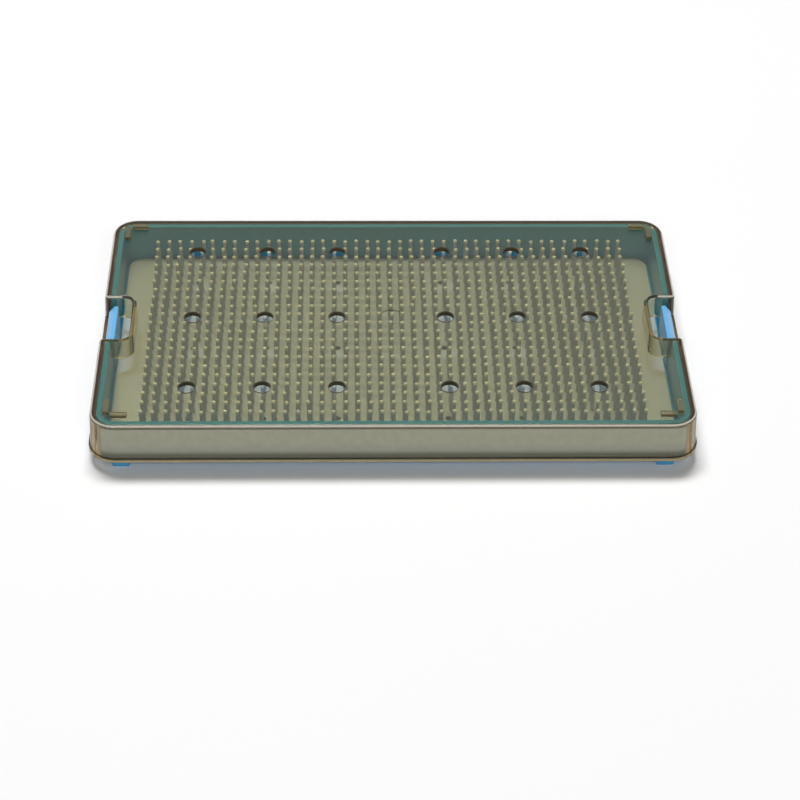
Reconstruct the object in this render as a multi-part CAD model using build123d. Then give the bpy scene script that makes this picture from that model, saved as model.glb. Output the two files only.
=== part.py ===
"""Sterilization box: a blue tray with a transparent lid, two snap latches and a silicone finger mat.

Millimetres. The long side lies along X, the front faces -Y and +Z is up. The origin is in the middle
of the surface that the feet rest on.
"""

import os
from math import radians, tan

from build123d import *

# Lid
LID_LENGTH = 254.0
LID_WIDTH = 154.0
LID_CORNER_RADIUS = 12.0
LID_WALL = 2.0
LID_TOP_THICKNESS = 2.0
LID_DRAFT = 3.0
SKIRT_HEIGHT = 18.0
LIP_HEIGHT = 1.6
LIP_STEP = 0.5
RIM_ROUND = 1.6

# Notch in each end of the lid, with its own hanging wall and a strap across its mouth
NOTCH_WIDTH = 29.6
NOTCH_DEPTH = 13.8
NOTCH_RADIUS = 4.0
NOTCH_WALL = 1.8
NOTCH_DROP = 11.2
NOTCH_MOUTH_RADIUS = 1.8

# Steam holes: rows of columns in from each end, at the same places in lid, mat and tray
LID_HOLE_DIAMETER = 7.0
MAT_HOLE_DIAMETER = 3.0
FLOOR_HOLE_DIAMETER = 6.0
HOLE_EDGE_CHAMFER = 0.35
HOLE_ROW_INSET = 27.7
HOLE_COLUMN_INSET = 40.6
HOLE_COLUMN_PITCH = 31.4
HOLE_COLUMNS_PER_END = 3

# Moulding gate in the middle of the lid
GATE_DIAMETER = 10.0
GATE_DEPTH = 0.3

# Tray
TRAY_HEIGHT = 22.0
TRAY_WALL = 2.2
TRAY_DRAFT = 1.5
TRAY_RIM_GAP = 0.7
FLOOR_THICKNESS = 2.2
TRAY_FLOOR_ROUND = 1.0
TRAY_BOTTOM_ROUND = 1.5
RIM_EDGE_ROUND = 0.4
SLOT_CLEARANCE = 0.8

# Feet under the tray, and the nibs on the lid that the feet of a box above stand round
FOOT_HEIGHT = 1.2
FOOT_THICKNESS = 1.8
FOOT_SETBACK = 0.2
NIB_HEIGHT = 1.3
NIB_THICKNESS = 2.4
NIB_GAP = 0.5
LONG_NIB_LENGTH = 7.0
SHORT_NIB_LENGTH = 8.0
LONG_NIB_INSET = 13.5
SHORT_NIB_INSET = 13.6

# Latch tab in each end wall
LATCH_LENGTH = 26.0
LATCH_END_GAP = 0.4
LATCH_THICKNESS = 2.9
LATCH_TOP_DROP = 3.8
LATCH_TOP_WIDTH = 1.8
LATCH_FOOT_RISE = 0.7
LATCH_EDGE_ROUND = 0.5
NOSE_HEIGHT = 3.9
NOSE_STRAP_GAP = 0.6
NOSE_REST_CLEARANCE = 0.25
HINGE_RISE = 1.2
HINGE_RADIUS = 0.7
HINGE_CLEARANCE = 0.05
HINGE_NECK = 0.9

# Silicone mat
MAT_WALL_GAP = 1.1
MAT_THICKNESS = 2.4
MAT_CORNER_RADIUS = 7.0
FINGER_BED_THICKNESS = 0.8
FINGER_BED_MARGIN = 2.6
FINGER_BED_RADIUS = 2.0
FINGER_LID_GAP = 1.6
FINGER_PITCH_ALONG = 10.0
FINGER_PITCH_ACROSS = 6.2
FINGER_END_MARGIN = 13.5
FINGER_SIDE_MARGIN = 6.4
FINGER_ROOT = 2.6
FINGER_TAPER = 1.5
FINGER_HOLE_CLEARANCE = 0.2

# Heights above the surface that the feet rest on
LID_TOP_Z = TRAY_HEIGHT + LID_TOP_THICKNESS
SKIRT_BOTTOM_Z = LID_TOP_Z - SKIRT_HEIGHT
STRAP_TOP_Z = LID_TOP_Z - NOTCH_DROP
FLOOR_TOP_Z = FOOT_HEIGHT + FLOOR_THICKNESS
MAT_TOP_Z = FLOOR_TOP_Z + MAT_THICKNESS
FINGER_BED_Z = MAT_TOP_Z - FINGER_BED_THICKNESS
FINGER_TIP_Z = TRAY_HEIGHT - FINGER_LID_GAP
HINGE_Z = FLOOR_TOP_Z + HINGE_RISE
SLOT_BOTTOM_Z = STRAP_TOP_Z - SLOT_CLEARANCE
CUT_MARGIN = 5.0


def skirt_inset(z):
    """How far the skirt's outer face stands in from the lid's largest outline at height z."""
    return LIP_STEP + (z - SKIRT_BOTTOM_Z) * tan(radians(LID_DRAFT))


def tray_inset(z):
    """How far the tray's outer face stands in from the lid's largest outline at height z."""
    rim_inset = skirt_inset(TRAY_HEIGHT) + LID_WALL + TRAY_RIM_GAP
    return rim_inset + (TRAY_HEIGHT - z) * tan(radians(TRAY_DRAFT))


def outline(inset):
    """The lid's largest outline, drawn in by an even inset."""
    length = LID_LENGTH - 2 * inset
    width = LID_WIDTH - 2 * inset
    return RectangleRounded(length, width, LID_CORNER_RADIUS - inset)


def block(z_from, z_to, sketch, taper=0.0):
    """A sketch raised from one height to another, narrowing as it rises."""
    return extrude(Pos(0, 0, z_from) * sketch, amount=z_to - z_from, taper=taper)


def bowl(z_from, z_to, sketch, taper):
    """A sketch lowered from one height to another, narrowing as it goes down."""
    upside_down = Plane(origin=(0, 0, z_from), z_dir=(0, 0, -1))
    return extrude(upside_down * sketch, amount=z_from - z_to, taper=taper)


def both_ends(shape):
    """A shape at the right end together with its mirror image at the left end."""
    return [shape, mirror(shape, about=Plane.YZ)]


def at_corners(shape):
    """A shape at the back right corner, mirrored to all four corners."""
    back = both_ends(shape)
    return back + [mirror(piece, about=Plane.XZ) for piece in back]


def hole_places():
    """Centres of the steam holes."""
    row = LID_WIDTH / 2 - HOLE_ROW_INSET
    columns = [
        LID_LENGTH / 2 - HOLE_COLUMN_INSET - step * HOLE_COLUMN_PITCH
        for step in range(HOLE_COLUMNS_PER_END)
    ]
    return [(side * x, y) for y in (-row, 0.0, row) for x in columns for side in (-1, 1)]


def hole_cutters(diameter, z_from, z_to):
    """One cylinder for each steam hole."""
    return [
        Pos(x, y, (z_from + z_to) / 2) * Cylinder(diameter / 2, z_to - z_from)
        for x, y in hole_places()
    ]


def stack_bars(inset, thickness, z_from, z_to):
    """Two short bars at each corner, their outer faces at one inset from the lid's outline."""
    middle = (z_from + z_to) / 2
    height = z_to - z_from
    along = Pos(
        LID_LENGTH / 2 - LONG_NIB_INSET,
        LID_WIDTH / 2 - inset - thickness / 2,
        middle,
    ) * Box(LONG_NIB_LENGTH, thickness, height)
    across = Pos(
        LID_LENGTH / 2 - inset - thickness / 2,
        LID_WIDTH / 2 - SHORT_NIB_INSET,
        middle,
    ) * Box(thickness, SHORT_NIB_LENGTH, height)
    return at_corners(along) + at_corners(across)


def notch_outline(offset):
    """The notch seen from above, centred on the lid's end so that only its inner half cuts."""
    length = 2 * (NOTCH_DEPTH + offset)
    width = NOTCH_WIDTH + 2 * offset
    return Pos(LID_LENGTH / 2, 0) * RectangleRounded(length, width, NOTCH_RADIUS + offset)


def make_lid():
    """The transparent lid, with notches, straps, steam holes and stacking nibs."""
    skirt = block(SKIRT_BOTTOM_Z, LID_TOP_Z, outline(LIP_STEP), LID_DRAFT)
    lip = block(SKIRT_BOTTOM_Z, SKIRT_BOTTOM_Z + LIP_HEIGHT, outline(0))
    inside = block(SKIRT_BOTTOM_Z, TRAY_HEIGHT, outline(LIP_STEP + LID_WALL), LID_DRAFT)
    lid = skirt + lip - inside
    for notch_wall in both_ends(block(STRAP_TOP_Z, TRAY_HEIGHT, notch_outline(NOTCH_WALL))):
        lid += notch_wall & inside
    for notch in both_ends(block(STRAP_TOP_Z, LID_TOP_Z + CUT_MARGIN, notch_outline(0))):
        lid -= notch
    mouth_x = LID_LENGTH / 2 - skirt_inset(LID_TOP_Z) - LID_WALL / 2
    mouth_edges = [
        edge
        for edge in lid.edges()
        if abs(abs(edge.center().Y) - NOTCH_WIDTH / 2) < 0.01
        and abs(edge.center().X) > mouth_x
        and edge.bounding_box().size.Z > NOTCH_DROP - 0.1
    ]
    lid = fillet(mouth_edges, NOTCH_MOUTH_RADIUS)
    top_face = lid.faces().sort_by(Axis.Z)[-1]
    lid = fillet(top_face.outer_wire().edges(), RIM_ROUND)
    for hole in hole_cutters(LID_HOLE_DIAMETER, TRAY_HEIGHT - CUT_MARGIN, LID_TOP_Z + CUT_MARGIN):
        lid -= hole
    rims = lid.edges().filter_by(GeomType.CIRCLE).filter_by_position(
        Axis.Z, LID_TOP_Z - 0.01, LID_TOP_Z + 0.01
    )
    hole_rims = [rim for rim in rims if abs(rim.radius - LID_HOLE_DIAMETER / 2) < 0.01]
    lid = chamfer(hole_rims, HOLE_EDGE_CHAMFER)
    lid -= Pos(0, 0, LID_TOP_Z) * Cylinder(GATE_DIAMETER / 2, 2 * GATE_DEPTH)
    nib_inset = tray_inset(FOOT_HEIGHT) + FOOT_SETBACK + FOOT_THICKNESS + NIB_GAP
    for nib in stack_bars(nib_inset, NIB_THICKNESS, LID_TOP_Z - LID_WALL / 2, LID_TOP_Z + NIB_HEIGHT):
        lid += nib
    return lid


def strap_zone():
    """The room under the right notch that the strap across its mouth fills."""
    width = NOTCH_WIDTH + 2 * NOTCH_WALL
    height = STRAP_TOP_Z - SKIRT_BOTTOM_Z
    return Pos(LID_LENGTH / 2, 0, SKIRT_BOTTOM_Z + height / 2) * Box(2 * NOTCH_DEPTH, width, height)


def make_tray():
    """The tray, with slotted end walls, steam holes and feet."""
    outer = bowl(TRAY_HEIGHT, FOOT_HEIGHT, outline(tray_inset(TRAY_HEIGHT)), TRAY_DRAFT)
    outer = fillet(outer.faces().sort_by(Axis.Z)[0].edges(), TRAY_BOTTOM_ROUND)
    inner = bowl(TRAY_HEIGHT, FLOOR_TOP_Z, outline(tray_inset(TRAY_HEIGHT) + TRAY_WALL), TRAY_DRAFT)
    inner = fillet(inner.faces().sort_by(Axis.Z)[0].edges(), TRAY_FLOOR_ROUND)
    tray = outer - inner
    rim = tray.faces().sort_by(Axis.Z)[-1]
    tray = fillet(rim.edges(), RIM_EDGE_ROUND)
    foot_inset = tray_inset(FOOT_HEIGHT) + FOOT_SETBACK
    foot_outline = block(0, FLOOR_TOP_Z, outline(foot_inset))
    for bar in stack_bars(foot_inset, FOOT_THICKNESS, 0, FOOT_HEIGHT + FLOOR_THICKNESS / 2):
        tray += bar & foot_outline
    for cutter in both_ends(end_wall_cutter()):
        tray -= cutter
    for hole in hole_cutters(FLOOR_HOLE_DIAMETER, 0, FLOOR_TOP_Z + CUT_MARGIN):
        tray -= hole
    return tray


def hinge_x():
    """The latch's hinge stands in the middle of the tray's end wall."""
    return LID_LENGTH / 2 - tray_inset(HINGE_Z) - TRAY_WALL / 2


def end_wall_cutter():
    """What the right end wall loses: the slots for the notch walls, the latch and its hinge."""
    wall_x = LID_LENGTH / 2 - tray_inset(TRAY_HEIGHT) - TRAY_WALL
    depth = 2 * (TRAY_WALL + CUT_MARGIN)
    slot_width = NOTCH_WIDTH + 2 * (NOTCH_WALL + SLOT_CLEARANCE)
    slot_height = TRAY_HEIGHT + CUT_MARGIN - SLOT_BOTTOM_Z
    slot = Pos(wall_x, 0, SLOT_BOTTOM_Z + slot_height / 2) * Box(depth, slot_width, slot_height)
    latch_width = LATCH_LENGTH + 2 * LATCH_END_GAP
    latch_height = TRAY_HEIGHT + CUT_MARGIN - HINGE_Z
    latch_slot = Pos(wall_x, 0, HINGE_Z + latch_height / 2) * Box(depth, latch_width, latch_height)
    seat_radius = HINGE_RADIUS + HINGE_CLEARANCE
    seat = Pos(hinge_x(), 0, HINGE_Z) * Rot(90, 0, 0) * Cylinder(seat_radius, latch_width)
    return slot + latch_slot + seat


def make_latch():
    """The right latch: a tab on a thin foot, with a sloped nose that catches the lid's strap."""
    axis_x = hinge_x()
    outer_x = LID_LENGTH / 2 - tray_inset(HINGE_Z)
    inner_x = outer_x - LATCH_THICKNESS
    strap_x = LID_LENGTH / 2 - skirt_inset(STRAP_TOP_Z) - LID_WALL
    nose_x = strap_x - NOSE_REST_CLEARANCE
    nose_z = STRAP_TOP_Z + NOSE_STRAP_GAP
    top_z = LID_TOP_Z - LATCH_TOP_DROP
    foot_z = HINGE_Z + LATCH_FOOT_RISE
    profile = Polygon(
        (inner_x, foot_z),
        (outer_x, foot_z),
        (outer_x, nose_z),
        (nose_x, nose_z),
        (nose_x, nose_z + NOSE_HEIGHT),
        (inner_x + LATCH_TOP_WIDTH, top_z),
        (inner_x, top_z),
        align=None,
    )
    top_corners = profile.vertices().group_by(Axis.Y)[-1]
    profile = fillet(top_corners, LATCH_EDGE_ROUND)
    standing = Plane.XZ.offset(-LATCH_LENGTH / 2)
    tab = extrude(standing * profile, amount=LATCH_LENGTH)
    neck_height = foot_z - HINGE_Z + LATCH_EDGE_ROUND
    neck = Pos(axis_x, 0, HINGE_Z + neck_height / 2) * Box(HINGE_NECK, LATCH_LENGTH, neck_height)
    bead = Pos(axis_x, 0, HINGE_Z) * Rot(90, 0, 0) * Cylinder(HINGE_RADIUS, LATCH_LENGTH)
    return tab + neck + bead


def mat_length():
    """The mat fits the tray's floor with an even gap."""
    return LID_LENGTH - 2 * (tray_inset(FLOOR_TOP_Z) + TRAY_WALL + MAT_WALL_GAP)


def mat_width():
    """The mat's size across the tray."""
    return mat_length() - LID_LENGTH + LID_WIDTH


def steps(extent, margin, pitch):
    """Evenly pitched places, centred, that fit inside an extent with a margin at each end."""
    count = int((extent - 2 * margin) / pitch + 0.001) + 1
    return [(index - (count - 1) / 2) * pitch for index in range(count)]


def finger_columns():
    """Places of the finger columns along the box."""
    return steps(mat_length(), FINGER_END_MARGIN, FINGER_PITCH_ALONG)


def finger_rows():
    """Places of the finger rows across the box."""
    return steps(mat_width(), FINGER_SIDE_MARGIN, FINGER_PITCH_ACROSS)


def finger_places():
    """Finger centres, leaving out each one that a steam hole would touch."""
    reach = MAT_HOLE_DIAMETER / 2 + FINGER_ROOT / 2 + FINGER_HOLE_CLEARANCE
    return [
        (x, y)
        for x in finger_columns()
        for y in finger_rows()
        if all(max(abs(x - hole_x), abs(y - hole_y)) > reach for hole_x, hole_y in hole_places())
    ]


def finger_bed(z_from, z_to):
    """The thin slice of the mat that the fingers grow from."""
    length = 2 * (finger_columns()[-1] + FINGER_BED_MARGIN)
    width = 2 * (finger_rows()[-1] + FINGER_BED_MARGIN)
    return block(z_from, z_to, RectangleRounded(length, width, FINGER_BED_RADIUS))


def make_mat_sheet():
    """The mat without the slice that carries the fingers."""
    mat_outline = RectangleRounded(mat_length(), mat_width(), MAT_CORNER_RADIUS)
    sheet = block(FLOOR_TOP_Z, MAT_TOP_Z, mat_outline)
    sheet -= finger_bed(FINGER_BED_Z, MAT_TOP_Z + CUT_MARGIN)
    for hole in hole_cutters(MAT_HOLE_DIAMETER, 0, MAT_TOP_Z + CUT_MARGIN):
        sheet -= hole
    return sheet


def make_mat_fingers():
    """The tapered fingers, joined to their slice of the mat in one fuse."""
    bed = finger_bed(FINGER_BED_Z, MAT_TOP_Z)
    for hole in hole_cutters(MAT_HOLE_DIAMETER, 0, MAT_TOP_Z + CUT_MARGIN):
        bed -= hole
    finger = block(MAT_TOP_Z, FINGER_TIP_Z, Rectangle(FINGER_ROOT, FINGER_ROOT), FINGER_TAPER)
    fingers = [Pos(x, y, 0) * finger for x, y in finger_places()]
    print("fingers", len(fingers))
    return bed.fuse(*fingers)


def make_pieces():
    """Every piece of the box by name. The straps are the lid's own plastic, cut from it as two pieces."""
    whole_lid = make_lid()
    zone_right, zone_left = both_ends(strap_zone())
    latch_right = make_latch()
    return {
        "base_tray": make_tray(),
        "lid": whole_lid - zone_right - zone_left,
        "lid_strap_right": whole_lid & zone_right,
        "lid_strap_left": whole_lid & zone_left,
        "latch_right": latch_right,
        "latch_left": mirror(latch_right, about=Plane.YZ),
        "mat_sheet": make_mat_sheet(),
        "mat_fingers": make_mat_fingers(),
    }


os.makedirs("parts", exist_ok=True)
for name, piece in make_pieces().items():
    export_step(piece, f"parts/{name}.step")
    box = piece.bounding_box()
    print(name, round(piece.volume, 1), [round(v, 2) for v in (*box.min, *box.max)])
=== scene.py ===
# %% [markdown]
# This notebook dresses a sterilization box. The box is a shallow blue tray with a clear amber lid, a
# latch tab in each end wall, and a soft mat of upright fingers that keeps small instruments apart.
# The solid model of the box is loaded first and never moved. Each later cell gives a piece its finish,
# or builds a finer piece in the same place. Sizes are in metres, so MM turns a size in millimetres
# into one that Blender can use.

# %% Load the solid model
from math import cos, radians, sin
from random import Random

import bmesh
import bpy
from mathutils import Matrix, Quaternion, Vector


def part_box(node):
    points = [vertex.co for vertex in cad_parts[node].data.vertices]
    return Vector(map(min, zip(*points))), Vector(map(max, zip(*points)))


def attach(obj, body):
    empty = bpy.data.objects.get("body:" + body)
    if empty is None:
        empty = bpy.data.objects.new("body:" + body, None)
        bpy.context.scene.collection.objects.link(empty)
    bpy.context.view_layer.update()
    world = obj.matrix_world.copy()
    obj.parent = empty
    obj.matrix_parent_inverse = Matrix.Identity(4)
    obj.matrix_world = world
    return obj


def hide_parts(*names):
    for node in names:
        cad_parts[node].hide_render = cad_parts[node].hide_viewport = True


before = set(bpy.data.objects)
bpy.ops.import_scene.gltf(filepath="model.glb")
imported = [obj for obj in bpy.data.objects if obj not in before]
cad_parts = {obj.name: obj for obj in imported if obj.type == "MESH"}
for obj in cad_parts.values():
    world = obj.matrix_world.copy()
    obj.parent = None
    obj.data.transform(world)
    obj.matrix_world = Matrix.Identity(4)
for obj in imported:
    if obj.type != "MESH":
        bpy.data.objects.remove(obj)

MM = 0.001
scene = bpy.context.scene
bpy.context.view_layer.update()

# %% [markdown]
# A product picture is usually taken from well back with a long lens, so that the box keeps nearly
# parallel sides. The camera could be placed by eye, but here its place was worked out from corners
# and holes of the lid in the photograph. It is given in the terms of a tripod: what it aims at, how
# far off it stands, how far it is raised and turned, and how much it is tipped to one side.

# %% Camera
AIM = Vector((4.371, 0.0, -22.358)) * MM
CAMERA_DISTANCE = 1029.7 * MM
CAMERA_RAISED = radians(38.395)
CAMERA_TURNED = radians(-1.777)
CAMERA_TIPPED = radians(0.971)
FOCAL_PIXELS = 2298.86
PICTURE_PIXELS = 800
SENSOR_WIDTH = 36.0

towards_camera = Vector((
    sin(CAMERA_TURNED) * cos(CAMERA_RAISED),
    -cos(CAMERA_TURNED) * cos(CAMERA_RAISED),
    sin(CAMERA_RAISED),
))
camera_data = bpy.data.cameras.new("camera")
camera_data.sensor_width = SENSOR_WIDTH
camera_data.lens = FOCAL_PIXELS / PICTURE_PIXELS * SENSOR_WIDTH
camera_data.clip_start = 0.05
camera_data.clip_end = 30.0
camera = bpy.data.objects.new("camera", camera_data)
camera.location = AIM + towards_camera * CAMERA_DISTANCE
camera.rotation_mode = "QUATERNION"
level = towards_camera.to_track_quat("Z", "Y")
camera.rotation_quaternion = level @ Quaternion((0.0, 0.0, 1.0), CAMERA_TIPPED)
scene.collection.objects.link(camera)
scene.camera = camera
scene.view_settings.view_transform = "Standard"
print("camera at", tuple(round(v, 4) for v in camera.location), "lens", round(camera_data.lens, 2))

# %% [markdown]
# Every surface pattern below is a sum of simple steps, such as one minus a mask. Blender draws each
# step as a node, and a page of nodes is hard to follow. A small wrapper lets a step be written as
# plain arithmetic instead, and adds the Math nodes by itself.


# %% Numbers that build Math nodes
class Value:
    """One output of a node, which can be used like a number."""

    def __init__(self, finish, socket):
        self.finish = finish
        self.socket = socket

    def arithmetic(self, operation, first, second):
        return self.finish.add("ShaderNodeMath", {"operation": operation}, {0: first, 1: second})

    def __add__(self, other):
        return self.arithmetic("ADD", self, other)

    def __radd__(self, other):
        return self.arithmetic("ADD", other, self)

    def __sub__(self, other):
        return self.arithmetic("SUBTRACT", self, other)

    def __rsub__(self, other):
        return self.arithmetic("SUBTRACT", other, self)

    def __mul__(self, other):
        return self.arithmetic("MULTIPLY", self, other)

    def __rmul__(self, other):
        return self.arithmetic("MULTIPLY", other, self)

    def at_least(self, other):
        return self.arithmetic("MAXIMUM", self, other)

    def size(self):
        """The number without its sign."""
        return self.finish.add("ShaderNodeMath", {"operation": "ABSOLUTE"}, {0: self})

    def grown(self, start, end):
        """Goes from 0 at the start to 1 at the end."""
        return self.finish.add(
            "ShaderNodeMapRange", None, {"Value": self, "From Min": start, "From Max": end}
        )


print("node outputs can be added, subtracted and multiplied like numbers")

# %% [markdown]
# A colour is three numbers, for the red, green and blue light that it gives back, each from 0 to 1.
# The numbers are shares of real light, so half of them is half as bright. A colour socket takes a
# fourth number for how opaque the colour is, which is always 1 here.


# %% Colours
def grey(level):
    return (level, level, level)


def opaque(colour):
    return (*colour, 1.0)


def darker(colour, share):
    """A colour with only this share of its light."""
    return [share * part for part in colour]


WHITE = opaque(grey(1.0))
print("white is", WHITE)

# %% [markdown]
# Nodes that aren't arithmetic, such as noise, ramps and shaders, all come from one method, which takes
# the node's type, its settings and the values of its sockets. A few short names for the nodes that
# every finish uses keep the finishes themselves easy to read.


# %% Finishes
def live_socket(sockets, key):
    """The usable socket with this identifier, name or place."""
    usable = [socket for socket in sockets if socket.enabled]
    if isinstance(key, int):
        return usable[key]
    for socket in usable:
        if socket.identifier == key:
            return socket
    return next(socket for socket in usable if socket.name == key)


class Finish:
    """A material, or the surroundings, built node by node."""

    def __init__(self, owner):
        self.owner = owner
        owner.use_nodes = True
        self.nodes = owner.node_tree.nodes
        self.links = owner.node_tree.links
        self.nodes.clear()

    def add(self, kind, settings=None, values=None, output=0):
        """Adds a node: its settings first, then the value or link of each socket."""
        node = self.nodes.new(kind)
        for name, setting in (settings or {}).items():
            if name == "stops":
                while len(node.color_ramp.elements) < len(setting):
                    node.color_ramp.elements.new(0.5)
                for element, (place, colour) in zip(node.color_ramp.elements, setting):
                    element.position = place
                    element.color = opaque(colour)
            else:
                setattr(node, name, setting)
        for key, value in (values or {}).items():
            socket = live_socket(node.inputs, key)
            if isinstance(value, Value):
                self.links.new(value.socket, socket)
            else:
                socket.default_value = value
        return Value(self, live_socket(node.outputs, output)) if node.outputs else node

    def noise(self, size, detail=2.0):
        """Soft random patches, from 0 to 1, of about this size in metres, fixed to the piece."""
        place = self.add("ShaderNodeTexCoord", output="Object")
        return self.add(
            "ShaderNodeTexNoise", None, {"Vector": place, "Scale": 1.0 / size, "Detail": detail}
        )

    def specks(self, size, edge, middle, cover):
        """Scattered specks: 0 between them, rising to this cover in the middle of the largest."""
        patches = self.noise(size, 1.0)
        return self.steps(patches, [(0.0, grey(0.0)), (edge, grey(0.0)), (middle, grey(cover))])

    def between(self, share, first, second):
        """A colour that goes from the first to the second as share goes from 0 to 1."""
        return self.add(
            "ShaderNodeMix", {"data_type": "RGBA"}, {"Factor": share, "A": first, "B": second}
        )

    def mixed(self, share, first, second):
        """A surface that goes from the first to the second as share goes from 0 to 1."""
        return self.add("ShaderNodeMixShader", None, {0: share, 1: first, 2: second})

    def steps(self, share, stops):
        """Numbers or colours read from a ramp."""
        return self.add("ShaderNodeValToRGB", {"stops": stops}, {"Fac": share})

    def relief(self, height, depth):
        """A surface direction that follows a height pattern of this depth in metres."""
        return self.add("ShaderNodeBump", None, {"Height": height, "Distance": depth})


print("finishes can use", [name for name in vars(Finish) if not name.startswith("_")])

# %% [markdown]
# A shop picture has the box on a white sweep. A backdrop that curves up could be modelled, but it would
# be in the way of a view from behind. So the floor is a plain pale sheet that catches the shadow, and
# it fades out with distance into white surroundings, which leaves no horizon in a low view.

# %% Floor
FLOOR_SIZE = 4.0
FLOOR_WHITE = (0.96, 0.96, 0.96)
PATCH_SIZE = 0.4
PATCH_SHARE = 0.985
FLOOR_FADE = (0.55, 1.6)

floor_finish = Finish(bpy.data.materials.new("white_sweep"))
floor_colour = floor_finish.between(
    floor_finish.noise(PATCH_SIZE), opaque(FLOOR_WHITE), opaque(darker(FLOOR_WHITE, PATCH_SHARE))
)
pale_sheet = floor_finish.add(
    "ShaderNodeBsdfDiffuse", None, {"Color": floor_colour, "Roughness": 0.0}
)
floor_place = floor_finish.add("ShaderNodeTexCoord", output="Object")
from_middle = floor_finish.add(
    "ShaderNodeVectorMath", {"operation": "LENGTH"}, {0: floor_place}, output="Value"
)
far_away = floor_finish.add("ShaderNodeBsdfTransparent")
fading_sheet = floor_finish.mixed(from_middle.grown(*FLOOR_FADE), pale_sheet, far_away)
floor_finish.add("ShaderNodeOutputMaterial", None, {"Surface": fading_sheet})

floor_shape = bmesh.new()
bmesh.ops.create_grid(floor_shape, x_segments=1, y_segments=1, size=FLOOR_SIZE / 2)
floor_mesh = bpy.data.meshes.new("floor")
floor_shape.to_mesh(floor_mesh)
floor_shape.free()
floor_mesh.materials.append(floor_finish.owner)
floor = bpy.data.objects.new("floor", floor_mesh)
scene.collection.objects.link(floor)
print("floor", FLOOR_SIZE, "m wide, fades out from", FLOOR_FADE[0], "to", FLOOR_FADE[1], "m")

# %% [markdown]
# The surroundings do two jobs. Only what the camera, a mirror or clear plastic looks at is pure white,
# and it is darker overhead, because a white ceiling mirrors in a clear lid as a milky veil. The light
# that falls on the box from all round is far weaker, so that its colours come out as they are.

# %% Surroundings
AROUND_LIGHT = 0.08
SWEEP_TOP = (sin(radians(22.0)), sin(radians(30.0)))
CEILING = 0.45

scene.world = bpy.data.worlds.new("studio")
studio = Finish(scene.world)
camera_rays, mirror_rays, clear_rays = (
    studio.add("ShaderNodeLightPath", output=name)
    for name in ("Is Camera Ray", "Is Glossy Ray", "Is Transmission Ray")
)
seen = camera_rays.at_least(mirror_rays).at_least(clear_rays)
fill_light = studio.add("ShaderNodeBackground", None, {"Color": WHITE, "Strength": AROUND_LIGHT})
look = studio.add("ShaderNodeTexCoord", output="Generated")
look_up = studio.add("ShaderNodeSeparateXYZ", None, {"Vector": look}, output="Z")
above_sweep = look_up.grown(*SWEEP_TOP)
backdrop = studio.add(
    "ShaderNodeBackground",
    None,
    {"Color": WHITE, "Strength": 1.0 - (1.0 - CEILING) * above_sweep},
)
studio.add("ShaderNodeOutputWorld", None, {"Surface": studio.mixed(seen, fill_light, backdrop)})
print("light from all round", AROUND_LIGHT, "and ceiling", CEILING, "of white")

# %% [markdown]
# One large lamp hangs over the box, a little behind it, so that the shadow falls softly forward and the
# fingers shade each other. A weaker lamp in front keeps the front wall from going dull. Both are hidden
# from mirror rays, because the flat lid would otherwise show each lamp as a white oblong.


# %% Lamps
def soft_lamp(name, place, width, depth, watts):
    """An oblong lamp that points at the middle of the box."""
    data = bpy.data.lights.new(name, "AREA")
    data.shape = "RECTANGLE"
    data.size = width
    data.size_y = depth
    data.energy = watts
    lamp = bpy.data.objects.new(name, data)
    lamp.location = place
    lamp.rotation_mode = "QUATERNION"
    lamp.rotation_quaternion = Vector(place).to_track_quat("Z", "Y")
    lamp.visible_glossy = False
    scene.collection.objects.link(lamp)
    print(name, "of", watts, "W at", place)


soft_lamp("lamp_overhead", place=(-0.20, 0.80, 2.85), width=1.3, depth=0.6, watts=75.0)
soft_lamp("lamp_in_front", place=(0.10, -2.40, 1.80), width=2.0, depth=0.8, watts=27.0)

# %% [markdown]
# The tray is moulded from a tough blue plastic that stands steam. Such a moulding isn't one flat
# colour: it has faint clouds where the melt met, a very fine orange peel that breaks up its shine,
# and a few specks of dust. The pattern reads the place on the piece itself, so it stays put when the
# piece moves. The latches, which are the same plastic, take the same recipe painted a shade brighter,
# which is painted light for faces that catch more of the lamps.

# %% Blue plastic
TRAY_BLUE = (0.085, 0.40, 0.70)
# Painted light: the latch blue is the tray blue made lighter, for faces that catch more light.
LIT_LATCH_BLUE = (0.155, 0.49, 0.86)
CLOUD_SIZE = 22 * MM
CLOUD_SHARE = 0.86
DUST = (0.72, 0.80, 0.86)
DUST_SIZE = 0.55 * MM
PEEL_SIZE = 0.9 * MM
PEEL_DEPTH = 0.012 * MM


def blue_plastic(name, blue):
    """Semi-gloss coloured plastic with clouds, specks and a fine orange peel."""
    finish = Finish(bpy.data.materials.new(name))
    clouds = finish.noise(CLOUD_SIZE, 3.0)
    clouded = finish.between(clouds, opaque(darker(blue, CLOUD_SHARE)), opaque(blue))
    dust = finish.specks(DUST_SIZE, 0.76, 0.83, cover=0.55)
    peel = finish.noise(PEEL_SIZE)
    shader = finish.add(
        "ShaderNodeBsdfPrincipled",
        None,
        {
            "Base Color": finish.between(dust, clouded, opaque(DUST)),
            "Roughness": 0.24 + 0.14 * clouds + 0.06 * peel,
            "IOR": 1.5,
            "Normal": finish.relief(peel, PEEL_DEPTH),
        },
    )
    finish.add("ShaderNodeOutputMaterial", None, {"Surface": shader})
    return finish.owner


def dress(node, material):
    """Puts a material on a piece of the solid model."""
    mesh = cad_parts[node].data
    mesh.materials.clear()
    mesh.materials.append(material)
    print(node, "has", material.name)


dress("base_tray", blue_plastic("tray_plastic", TRAY_BLUE))
latch_material = blue_plastic("latch_plastic", LIT_LATCH_BLUE)
for latch in ("latch_left", "latch_right"):
    dress(latch, latch_material)
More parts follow.
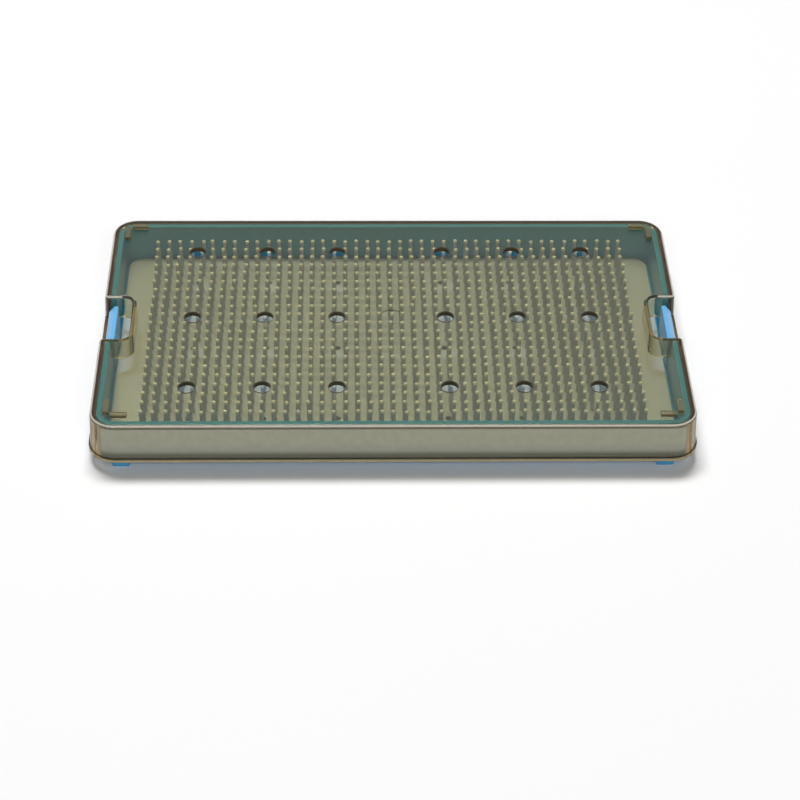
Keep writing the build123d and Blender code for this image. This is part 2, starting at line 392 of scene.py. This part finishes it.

# %% [markdown]
# The mat is soft silicone, the same pale lavender grey all through. It has almost no gloss, but its
# skin is slightly waxy and picks up lint. Light goes about a millimetre into it before it comes out, so
# thin fingers glow a little on their shaded side, and subsurface scattering does that here. The tips
# are painted paler, a painted highlight for the light that their rounded tops catch.

# %% Silicone
SILICONE = (0.52, 0.60, 0.70)
SILICONE_CLOUD_SIZE = 14 * MM
SILICONE_CLOUD_SHARE = 0.9
GRAIN_SIZE = 0.7 * MM
GRAIN_DEPTH = 0.02 * MM
LINT = (0.86, 0.88, 0.90)
LINT_SIZE = 0.45 * MM
PALE_TIP_HIGHLIGHT = (0.88, 1.0, 1.0)
TIP_HIGHLIGHT_BELOW_TIP = (1.5 * MM, 1.0 * MM)
LIGHT_REACH = 1.2 * MM

silicone = Finish(bpy.data.materials.new("silicone"))
clouded_silicone = silicone.between(
    silicone.noise(SILICONE_CLOUD_SIZE, 3.0),
    opaque(darker(SILICONE, SILICONE_CLOUD_SHARE)),
    opaque(SILICONE),
)
grain = silicone.noise(GRAIN_SIZE)
lint = silicone.specks(LINT_SIZE, 0.77, 0.82, cover=0.7)
mat_place = silicone.add("ShaderNodeTexCoord", output="Object")
mat_height = silicone.add("ShaderNodeSeparateXYZ", None, {"Vector": mat_place}, output="Z")
tip_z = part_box("mat_fingers")[1][2]
tip_highlight_heights = [tip_z - below for below in TIP_HIGHLIGHT_BELOW_TIP]
# Painted highlight: the finger tips are painted paler where their rounded tops catch the light.
tip_highlight = mat_height.grown(*tip_highlight_heights) * (0.75 + 0.25 * grain)
tipped_silicone = silicone.between(tip_highlight, clouded_silicone, opaque(PALE_TIP_HIGHLIGHT))
silicone_shader = silicone.add(
    "ShaderNodeBsdfPrincipled",
    None,
    {
        "Base Color": silicone.between(lint, tipped_silicone, opaque(LINT)),
        "Roughness": 0.34 + 0.12 * grain - 0.1 * tip_highlight,
        "IOR": 1.45,
        "Subsurface Weight": 0.6,
        "Subsurface Radius": (1.0, 1.0, 1.0),
        "Subsurface Scale": LIGHT_REACH,
        "Sheen Weight": 0.1,
        "Sheen Roughness": 0.4,
        "Normal": silicone.relief(grain, GRAIN_DEPTH),
    },
)
silicone.add("ShaderNodeOutputMaterial", None, {"Surface": silicone_shader})
print("silicone lets light in by", LIGHT_REACH / MM, "mm")

# %% [markdown]
# The lid is clear amber plastic. Its colour isn't on its surface: the plastic takes the blue out of
# light on the way through, so a wall seen edge on is a dark brown line and a wall seen flat is a
# light olive pane. Tinting the surface can't do that, so the material is clear and its volume does the
# tinting. Real light also goes through the lid onto the mat. To show that without grainy patches, the
# rays that carry lamp light pass straight through. The rounded rim is a little rougher than the flat
# top, so it shows a soft light line instead of sparks.

# %% Clear amber plastic
CLEAR_TINT = (0.80, 0.82, 0.77)
PASSED_LIGHT = (0.88, 0.89, 0.88)
CLEAR_IOR = 1.6
WAVE_SIZE = 30 * MM
WAVE_DEPTH = 0.004 * MM
HAZE_SIZE = 5 * MM
LEVEL = (0.80, 0.96)
ROUNDED = (0.02, 0.15)

lid_end, lid_side, lid_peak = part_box("lid")[1]
amber = Finish(bpy.data.materials.new("amber_lid"))
lid_place = amber.add("ShaderNodeTexCoord", output="Object")
facing = amber.add("ShaderNodeTexCoord", output="Normal")
along, across, height = (
    amber.add("ShaderNodeSeparateXYZ", None, {"Vector": lid_place}, output=axis) for axis in "XYZ"
)
facing_along, facing_across, facing_up = (
    amber.add("ShaderNodeSeparateXYZ", None, {"Vector": facing}, output=axis) for axis in "XYZ"
)
levelness = facing_up * facing_up
level_share = levelness.grown(*LEVEL)
rounded = (1.0 - level_share) * levelness.grown(*ROUNDED)
haze = amber.noise(HAZE_SIZE, 3.0)
clear_shader = amber.add(
    "ShaderNodeBsdfPrincipled",
    None,
    {
        "Base Color": opaque(CLEAR_TINT),
        "Roughness": 0.008 + 0.02 * haze + 0.2 * rounded,
        "IOR": CLEAR_IOR,
        "Transmission Weight": 1.0,
        "Normal": amber.relief(amber.noise(WAVE_SIZE, 1.0), WAVE_DEPTH),
    },
)
lamp_rays = amber.add("ShaderNodeLightPath", output="Is Shadow Ray")
spread_rays = amber.add("ShaderNodeLightPath", output="Is Diffuse Ray")
open_way = amber.add("ShaderNodeBsdfTransparent", None, {"Color": opaque(PASSED_LIGHT)})
clear_amber = amber.mixed(lamp_rays.at_least(spread_rays), clear_shader, open_way)
print("clear amber plastic bends light by", CLEAR_IOR)

# %% [markdown]
# The upright walls of the lid are etched to a satin face, which hides the tray behind them. They could
# be a rougher glass, but that needs many rays to come out smooth, so a plain satin surface is laid over
# the clear one where the wall is upright. Its colours follow the height: golden at the lip, a painted
# shade in the step above it, a grey olive wall, and a brown line where the rim begins.

# %% Satin walls
LIP_GOLD = (0.46, 0.35, 0.15)
# Painted shade: the step above the lip is painted dark.
STEP_SHADE = (0.085, 0.08, 0.04)
LOW_SATIN = (0.33, 0.345, 0.27)
SATIN = (0.40, 0.40, 0.285)
RIM_BROWN = (0.12, 0.10, 0.06)
WALL_COLOURS = [
    (5.6, LIP_GOLD),
    (7.0, LIP_GOLD),
    (7.2, STEP_SHADE),
    (9.4, STEP_SHADE),
    (11.6, LOW_SATIN),
    (15.0, SATIN),
    (22.0, SATIN),
    (22.5, RIM_BROWN),
    (24.0, RIM_BROWN),
]
END_WALL_ZONE = 4.0 * MM
LONG_WALL_ZONE = 3.9 * MM
UPRIGHT = (0.0625, 0.125)
FACING_OUT = (0.3, 0.6)
MOTTLE_SIZE = 3 * MM
SATIN_SHARE = 0.88
SATIN_LOSS = 0.1


def past(distance, start, fade=0.2 * MM):
    """1 where a distance from the middle is past the start, and 0 before it."""
    return distance.size().grown(start - fade, start + fade)


upright = 1.0 - levelness.grown(*UPRIGHT)
end_wall = past(along, lid_end - END_WALL_ZONE) * (facing_along * facing_along).grown(*FACING_OUT)
long_wall = past(across, lid_side - LONG_WALL_ZONE) * (facing_across * facing_across).grown(*FACING_OUT)
mottle = amber.noise(MOTTLE_SIZE, 3.0)
satin_share = upright * end_wall.at_least(long_wall) * (SATIN_SHARE - SATIN_LOSS * mottle)
wall_low, wall_high = WALL_COLOURS[0][0], WALL_COLOURS[-1][0]
wall_colour = amber.steps(
    height.grown(wall_low * MM, wall_high * MM),
    [((level - wall_low) / (wall_high - wall_low), colour) for level, colour in WALL_COLOURS],
)
print("satin walls have", len(WALL_COLOURS), "colour steps from", wall_low, "to", wall_high, "mm")

# %% [markdown]
# Round each corner the wall turns through a right angle, and the curved plastic gathers the light into
# upright golden and dark bands. Tracing such caustics takes very long, so the bands are painted by the
# way the wall faces, which ties them to the corner from every side. A slight waver keeps their edges
# from being ruled lines. The flat ledge above the lip is satin too.

# %% Corner bands and ledge
CORNER_COLOURS = [
    (0.00, SATIN),
    (0.55, (0.20, 0.15, 0.05)),
    (0.66, (0.50, 0.30, 0.06)),
    (0.76, (0.20, 0.12, 0.03)),
    (0.86, (0.56, 0.37, 0.11)),
    (0.94, (0.11, 0.07, 0.015)),
    (1.00, (0.13, 0.085, 0.02)),
]
CORNER_ZONE = 15.0 * MM
CORNER_WAVER = 0.06
CORNER_TURN = (0.50, 0.62)
CORNER_END = (0.97, 1.01)
LOW_LEDGE = (8.4 * MM, 8.8 * MM)
LEDGE_SHARE = 0.85
SMUDGE = grey(0.15)
SMUDGE_SHARE = 0.15

turned = facing_along.size() + CORNER_WAVER * mottle
in_corner = (
    upright
    * past(across, lid_side - CORNER_ZONE)
    * turned.grown(*CORNER_TURN)
    * (1.0 - turned.grown(*CORNER_END))
)
satin_colour = amber.between(in_corner, wall_colour, amber.steps(turned, CORNER_COLOURS))
satin_shader = amber.add(
    "ShaderNodeBsdfPrincipled",
    None,
    {
        "Base Color": amber.between(SMUDGE_SHARE * mottle, satin_colour, opaque(SMUDGE)),
        "Roughness": 0.3 + 0.1 * mottle,
        "IOR": CLEAR_IOR,
    },
)
low_ledge = level_share * (1.0 - height.grown(*LOW_LEDGE))
satin_share = satin_share.at_least(LEDGE_SHARE * low_ledge)
satin_amber = amber.mixed(satin_share, clear_amber, satin_shader)
print("corners have", len(CORNER_COLOURS), "bands")

# %% [markdown]
# A hole through thick amber plastic shows as a dark ring, because light is trapped in its wall. The
# eight small nibs on top, which let such lids be stacked, are darker than the flat top for the same
# reason. Both are small, so a share of plain dark surface in the clear one shows them without noise.

# %% Hole walls and nibs
HOLE_BROWN = (0.075, 0.06, 0.03)
HOLE_SHARE = 0.8
HOLE_ZONE = (100.0 * MM, 60.0 * MM)
NIB_OLIVE = (0.20, 0.165, 0.085)
NIB_TOP_SHARE = 0.5
NIB_SIDE_SHARE = 0.85
NIB_HEIGHT = 1.3 * MM
NIB_FOOT = (0.05 * MM, 0.15 * MM)

lid_top_z = lid_peak - NIB_HEIGHT
in_zone = (1.0 - past(along, HOLE_ZONE[0])) * (1.0 - past(across, HOLE_ZONE[1]))
in_hole = (1.0 - level_share) * in_zone
on_nib = height.grown(*[lid_top_z + above for above in NIB_FOOT])
nib_share = on_nib * (NIB_TOP_SHARE + (NIB_SIDE_SHARE - NIB_TOP_SHARE) * upright)
dark_shader = amber.add(
    "ShaderNodeBsdfPrincipled",
    None,
    {
        "Base Color": amber.between(on_nib, opaque(HOLE_BROWN), opaque(NIB_OLIVE)),
        "Roughness": 0.4,
    },
)
marked_amber = amber.mixed(HOLE_SHARE * in_hole + nib_share, satin_amber, dark_shader)
print("hole walls are dark by", HOLE_SHARE, "and nib sides by", NIB_SIDE_SHARE)

# %% [markdown]
# The rim is rounded, and it gets a painted highlight: a broken cream line all round that stands in for
# the light it catches. Edge marks are often found by a pointiness mask, but that depends on the mesh.
# Here the line lies where the rim has turned about half way from upright to level. Last, the plastic
# gets the volume that tints whatever is seen through it.

# %% Painted rim highlight and amber tint
RIM_HIGHLIGHT_CREAM = (0.86, 0.81, 0.68)
RIM_LOWER = (0.25, 0.35)
RIM_UPPER = (0.74, 0.84)
RIM_ZONE = 9.0 * MM
RIM_DEPTH = (2.0 * MM, 1.5 * MM)
RIM_SHARE = 0.7
RIM_LOSS = 0.2
AMBER = (0.847, 0.675, 0.12)
AMBER_THINNING = 235.0

# Painted highlight: a cream line is painted on the rounded rim for the light that it catches.
painted_rim_highlight = (
    levelness.grown(*RIM_LOWER)
    * (1.0 - levelness.grown(*RIM_UPPER))
    * past(along, lid_end - RIM_ZONE).at_least(past(across, lid_side - RIM_ZONE))
    * height.grown(*[lid_top_z - below for below in RIM_DEPTH])
)
rim_highlight_shader = amber.add(
    "ShaderNodeBsdfPrincipled", None, {"Base Color": opaque(RIM_HIGHLIGHT_CREAM), "Roughness": 0.3}
)
rim_highlight_share = painted_rim_highlight * (RIM_SHARE - RIM_LOSS * mottle)
amber_surface = amber.mixed(rim_highlight_share, marked_amber, rim_highlight_shader)
amber_volume = amber.add(
    "ShaderNodeVolumeAbsorption", None, {"Color": opaque(AMBER), "Density": AMBER_THINNING}
)
amber.add("ShaderNodeOutputMaterial", None, {"Surface": amber_surface, "Volume": amber_volume})
print("amber plastic has", len(amber.nodes), "nodes")

# %% [markdown]
# Two pieces are made anew: the lid and the mat. A new piece has to know which moving body of the solid
# model carries it and which material it wears. Holes could be drawn as dark discs, but
# real ones let light through, so shapes are cut from or added to each other by Boolean modifiers, and
# only the finished mesh is kept.


# %% Helpers for new pieces
def plain_object(name, shape):
    """A plain object of a shape, for a cut or a union."""
    mesh = bpy.data.meshes.new(name)
    shape.to_mesh(mesh)
    shape.free()
    piece = bpy.data.objects.new(name, mesh)
    scene.collection.objects.link(piece)
    return piece


def joined(piece, others, operation):
    """The mesh of a piece after the others are added to it or cut from it."""
    for other in others:
        step = piece.modifiers.new(other.name, "BOOLEAN")
        step.operation = operation
        step.solver = "EXACT"
        step.object = other
    bpy.context.view_layer.update()
    depsgraph = bpy.context.evaluated_depsgraph_get()
    mesh = bpy.data.meshes.new_from_object(piece.evaluated_get(depsgraph))
    for used in (piece, *others):
        bpy.data.objects.remove(used)
    return mesh


def show(name, mesh, body, material):
    """Makes a finished piece of a mesh, which rides on a body of the solid model."""
    mesh.materials.clear()
    mesh.materials.append(material)
    piece = bpy.data.objects.new(name, mesh)
    scene.collection.objects.link(piece)
    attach(piece, body)
    print(name, "rides on", body, "with", len(mesh.polygons), "faces")
    return piece


# %% [markdown]
# The lid is one moulding, but the solid model holds it as three: the lid, and the strap under each
# notch that the latch catches. In clear plastic a joint between two solids shows as a crack. So plain
# copies of the three are united into one closed shell, and a weighted normal keeps the flat faces
# flat where they meet the rounded rim.


# %% Lid as one moulding
STRAPS = ("lid_strap_left", "lid_strap_right")
SHARP_BEND = radians(32.0)


def plain_copy(node):
    """A copy of a piece of the solid model, with its doubled corners merged."""
    shape = bmesh.new()
    shape.from_mesh(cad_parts[node].data)
    bmesh.ops.remove_doubles(shape, verts=shape.verts, dist=0.001 * MM)
    copy = plain_object(node + "_copy", shape)
    copy.data.attributes.remove(copy.data.attributes["custom_normal"])
    return copy


lid_mesh = joined(plain_copy("lid"), [plain_copy(strap) for strap in STRAPS], "UNION")
lid_mesh.name = "clear_lid"
lid_mesh.shade_smooth()
lid_mesh.set_sharp_from_angle(angle=SHARP_BEND)
clear_lid = show("clear_lid", lid_mesh, "lid", amber.owner)
flat_faces = clear_lid.modifiers.new("flat_faces", "WEIGHTED_NORMAL")
flat_faces.keep_sharp = True
flat_faces.weight = 80
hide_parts("lid", *STRAPS)
print("clear lid stands for the lid and", len(STRAPS), "straps")

# %% [markdown]
# The mat is one silicone moulding: a thin sheet with softly rounded edges and steam holes, and rows
# of tapered fingers that grow out of it. The sheet starts as a flat rectangle whose corners are
# rounded, is raised, and has its upper edge rounded.

# %% Mat sheet
MAT_CORNER = 7.0 * MM
MAT_EDGE = 0.5 * MM

sheet_low, sheet_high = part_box("mat_sheet")
sheet_size = Vector(sheet_high) - Vector(sheet_low)

sheet = bmesh.new()
bmesh.ops.create_grid(sheet, x_segments=1, y_segments=1, size=0.5)
bmesh.ops.scale(sheet, vec=(sheet_size.x, sheet_size.y, 1.0), verts=sheet.verts)
bmesh.ops.translate(sheet, vec=(0.0, 0.0, sheet_low[2]), verts=sheet.verts)
bmesh.ops.bevel(
    sheet,
    geom=sheet.verts[:],
    offset=MAT_CORNER,
    segments=8,
    profile=0.5,
    affect="VERTICES",
    material=-1,
)
raised = bmesh.ops.extrude_face_region(sheet, geom=sheet.faces[:])["geom"]
raised_corners = [item for item in raised if isinstance(item, bmesh.types.BMVert)]
bmesh.ops.translate(sheet, vec=(0.0, 0.0, sheet_size.z), verts=raised_corners)
bmesh.ops.recalc_face_normals(sheet, faces=sheet.faces)
upper_edges = [
    edge
    for edge in sheet.edges
    if all(abs(corner.co.z - sheet_high[2]) < MAT_EDGE / 10 for corner in edge.verts)
]
bmesh.ops.bevel(
    sheet, geom=upper_edges, offset=MAT_EDGE, segments=3, profile=0.5, affect="EDGES", material=-1
)
print("mat sheet", [round(v / MM, 2) for v in sheet_size], "mm")

# %% [markdown]
# Steam and water pass the mat through small round holes, one under each hole of the lid. They could
# be a pattern on the sheet, but then nothing would show through them. So one set of rods, placed in
# the same rows and columns, is cut out of it.

# %% Steam holes in the mat
HOLE_DIAMETER = 3.0 * MM
HOLE_COLUMNS = [86.4 * MM, 55.0 * MM, 23.6 * MM]
HOLE_ROWS = [-49.3 * MM, 0.0, 49.3 * MM]

hole_places = [Vector((side * x, y, 0.0)) for x in HOLE_COLUMNS for side in (-1, 1) for y in HOLE_ROWS]
rods = bmesh.new()
for hole in hole_places:
    bmesh.ops.create_cone(
        rods,
        cap_ends=True,
        segments=32,
        radius1=HOLE_DIAMETER / 2,
        radius2=HOLE_DIAMETER / 2,
        depth=4 * sheet_size.z,
        matrix=Matrix.Translation(hole + Vector((0.0, 0.0, sheet_low[2]))),
    )
sheet_mesh = joined(plain_object("sheet", sheet), [plain_object("rods", rods)], "DIFFERENCE")
print(len(hole_places), "holes of", round(HOLE_DIAMETER / MM, 2), "mm")

# %% [markdown]
# One finger is turned from its side view, like a chess piece on a lathe, with a flared root, a narrow
# neck and a rounded tip. It has few faces, because it is repeated nearly nine hundred times.

# %% One finger
FINGER_SIDES = 8
ROOT_RADIUS = 1.0 * MM
ROOT_FLARE = 0.3 * MM
ROOT_TOP = 0.7 * MM
NECK_RADIUS = 0.66 * MM
NECK_BELOW_TIP = 1.7 * MM
TIP_RADIUS = 0.95 * MM
TIP_LENGTH = 0.8 * MM
TIP_ROUNDING = 0.2 * MM

finger_base_z = sheet_high[2]
finger_height = tip_z - finger_base_z
side_view = [
    (ROOT_RADIUS + ROOT_FLARE, -ROOT_FLARE),
    (ROOT_RADIUS + 0.25 * MM, 0.02 * MM),
    (ROOT_RADIUS, ROOT_TOP),
    (NECK_RADIUS, finger_height - NECK_BELOW_TIP),
    (TIP_RADIUS, finger_height - TIP_LENGTH),
    (0.85 * TIP_RADIUS, finger_height - TIP_ROUNDING),
    (0.5 * TIP_RADIUS, finger_height),
]
finger = bmesh.new()
corners = [finger.verts.new((radius, 0.0, level)) for radius, level in side_view]
outline = [finger.edges.new(pair) for pair in zip(corners, corners[1:])]
bmesh.ops.spin(
    finger,
    geom=corners + outline,
    cent=(0.0, 0.0, 0.0),
    axis=(0.0, 0.0, 1.0),
    angle=radians(360.0),
    steps=FINGER_SIDES,
    use_merge=True,
)
bmesh.ops.remove_doubles(finger, verts=finger.verts, dist=0.001 * MM)
bmesh.ops.holes_fill(finger, edges=finger.edges[:], sides=FINGER_SIDES)
bmesh.ops.recalc_face_normals(finger, faces=finger.faces)
finger_mesh = bpy.data.meshes.new("finger")
finger.to_mesh(finger_mesh)
finger.free()
print("one finger is", round(finger_height / MM, 2), "mm tall with", len(finger_mesh.polygons), "faces")

# %% [markdown]
# The fingers stand in even rows. Each is soft, so no two stand quite alike: most lean a fraction of a
# millimetre, and some are a little shorter. An array modifier would make them all the same, so a loop
# places them one by one, with chances drawn from a fixed seed. A finger that would stand in a steam
# hole is left out.

# %% Rows of fingers
FINGER_PITCH_ALONG = 5.0 * MM
FINGER_PITCH_ACROSS = 6.2 * MM
FINGER_COLUMNS = 43
FINGER_ROWS = 21
HOLE_CLEARANCE = 1.3 * MM
LEAN = 0.28 * MM
UNEVEN = 0.008
SEED = 7
SOFT_BEND = radians(40.0)


def row_of(count, pitch):
    """Evenly pitched places about the middle."""
    return [(index - (count - 1) / 2) * pitch for index in range(count)]


mat = bmesh.new()
mat.from_mesh(sheet_mesh)
chance = Random(SEED)
keep_off = HOLE_DIAMETER / 2 + HOLE_CLEARANCE
fingers_made = 0
for y in row_of(FINGER_ROWS, FINGER_PITCH_ACROSS):
    for x in row_of(FINGER_COLUMNS, FINGER_PITCH_ALONG):
        if min((Vector((x, y, 0.0)) - hole).length for hole in hole_places) < keep_off:
            continue
        mat.from_mesh(finger_mesh)
        mat.verts.ensure_lookup_table()
        grown = mat.verts[-len(finger_mesh.vertices):]
        lean = Matrix.Identity(4)
        lean[0][2] = chance.gauss(0.0, LEAN) / finger_height
        lean[1][2] = chance.gauss(0.0, LEAN) / finger_height
        lean[2][2] = min(1.0 + chance.gauss(0.0, UNEVEN), 1.0)
        stand = Matrix.Translation((x, y, finger_base_z))
        bmesh.ops.transform(mat, matrix=stand @ lean, verts=grown)
        fingers_made += 1
mat_mesh = bpy.data.meshes.new("finger_mat")
mat.to_mesh(mat_mesh)
mat.free()
mat_mesh.shade_smooth()
mat_mesh.set_sharp_from_angle(angle=SOFT_BEND)
finger_mat = show("finger_mat", mat_mesh, "tray", silicone.owner)
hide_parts("mat_sheet", "mat_fingers")
print("mat has", fingers_made, "fingers")

# %% [markdown]
